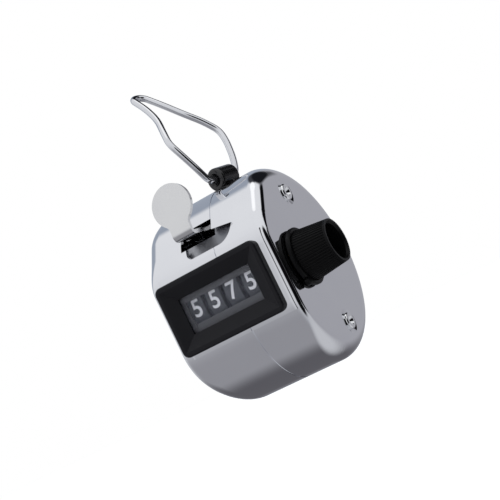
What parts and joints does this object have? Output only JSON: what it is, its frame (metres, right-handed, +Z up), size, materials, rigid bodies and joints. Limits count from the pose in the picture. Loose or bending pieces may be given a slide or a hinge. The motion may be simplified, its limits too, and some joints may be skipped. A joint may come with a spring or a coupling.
{
  "type": "hand tally counter",
  "caption": "Chromed hand tally counter: round two-shell case, black window bezel with number wheels, sprung thumb lever, ribbed reset knob and swivelling wire finger loop.",
  "frame": {"origin": "on the axis of the round case, in the plane of the joint between its two shells", "axes": "+X right along the number drum towards the reset knob, +Y to the back away from the number window, +Z up towards the finger loop"},
  "size_m": [0.0399, 0.0411, 0.0745],
  "materials": {
    "chrome_shell": "bright nickel-chrome plate on drawn steel sheet",
    "bezel_plastic": "black moulded ABS, semi-gloss",
    "clear_window": "clear moulded acrylic",
    "mask_plastic": "dark grey moulded plastic, matt",
    "dark_sheet": "dark phosphated steel sheet",
    "wheel_plastic": "dark grey moulded plastic with white printed numbers",
    "spring_steel": "spring steel, oiled",
    "turned_steel": "turned steel",
    "bearing_brass": "turned brass",
    "knob_plastic": "black moulded plastic, ribbed",
    "zinc_sheet": "zinc-plated steel sheet",
    "satin_nickel": "satin nickel plate on steel sheet",
    "pawl_plastic": "white acetal",
    "rivet_nickel": "nickel-plated rivet",
    "bush_plastic": "black moulded nylon",
    "chrome_wire": "nickel-chrome plated wire"
  },
  "bodies": {
    "casing": {"left_shell": "chrome_shell", "right_shell": "chrome_shell", "window_bezel": "bezel_plastic", "window_lens": "clear_window", "window_mask": "mask_plastic", "upper_post": "turned_steel", "lower_post": "turned_steel", "upper_rivet": "rivet_nickel", "lower_rivet": "rivet_nickel", "drum_frame": "zinc_sheet", "detent_spring": "spring_steel", "detent_screws": "turned_steel", "lever_spring": "spring_steel", "shaft_spacer": "bearing_brass", "shaft_bearing": "bearing_brass"},
    "lever": {"thumb_lever": "satin_nickel", "slot_shutter": "dark_sheet", "pawl_pin": "turned_steel"},
    "pawl": {"drive_pawl": "pawl_plastic"},
    "reset_shaft": {"drum_shaft": "turned_steel", "shaft_circlip": "spring_steel", "reset_knob": "knob_plastic", "knob_screw": "turned_steel"},
    "units": {"units_wheel": "wheel_plastic", "units_zero_catch": "spring_steel"},
    "tens": {"tens_wheel": "wheel_plastic", "tens_zero_catch": "spring_steel"},
    "hundreds": {"hundreds_wheel": "wheel_plastic", "hundreds_zero_catch": "spring_steel"},
    "thousands": {"thousands_wheel": "wheel_plastic", "thousands_zero_catch": "spring_steel"},
    "swivel": {"swivel_bush": "bush_plastic", "swivel_stem": "turned_steel", "swivel_washer": "zinc_sheet"},
    "loop": {"finger_loop": "chrome_wire"}
  },
  "joints": [
    {"name": "lever_press", "type": "hinge", "parent": "casing", "child": "lever", "pos_m": [-0.0035, 0.0012, 0.0151], "axis": [1, 0, 0], "range_deg": [0, 12], "stiffness_Nm_per_rad": 0.1, "springref_deg": -17.19, "deforming": ["lever_spring"]},
    {"name": "pawl_swing", "type": "hinge", "parent": "lever", "child": "pawl", "pos_m": [-0.0035, 0.0045, -0.002], "axis": [1, 0, 0], "range_deg": [0, 6], "stiffness_Nm_per_rad": 0.002, "springref_deg": -17.19},
    {"name": "knob_spin", "type": "hinge", "parent": "casing", "child": "reset_shaft", "pos_m": [0.0129, -0.0068, 0.00055], "axis": [1, 0, 0], "continuous": true},
    {"name": "units_spin", "type": "hinge", "parent": "casing", "child": "units", "pos_m": [0.00355, -0.0068, 0.00055], "axis": [1, 0, 0], "continuous": true},
    {"name": "tens_spin", "type": "hinge", "parent": "casing", "child": "tens", "pos_m": [-0.00115, -0.0068, 0.00055], "axis": [1, 0, 0], "continuous": true},
    {"name": "hundreds_spin", "type": "hinge", "parent": "casing", "child": "hundreds", "pos_m": [-0.00585, -0.0068, 0.00055], "axis": [1, 0, 0], "continuous": true},
    {"name": "thousands_spin", "type": "hinge", "parent": "casing", "child": "thousands", "pos_m": [-0.01055, -0.0068, 0.00055], "axis": [1, 0, 0], "continuous": true},
    {"name": "bush_swivel", "type": "hinge", "parent": "casing", "child": "swivel", "pos_m": [0, 0.003, 0.0248], "axis": [0, 0, 1], "continuous": true},
    {"name": "loop_swing", "type": "hinge", "parent": "swivel", "child": "loop", "pos_m": [0, 0.003, 0.0248], "axis": [0.3024, 0.9532, 0], "range_deg": [-45, 90]}
  ],
  "couplings": [
    {"joint": "tens_spin", "follows": "units_spin", "ratio": 0.1},
    {"joint": "hundreds_spin", "follows": "units_spin", "ratio": 0.01},
    {"joint": "thousands_spin", "follows": "units_spin", "ratio": 0.001}
  ]
}
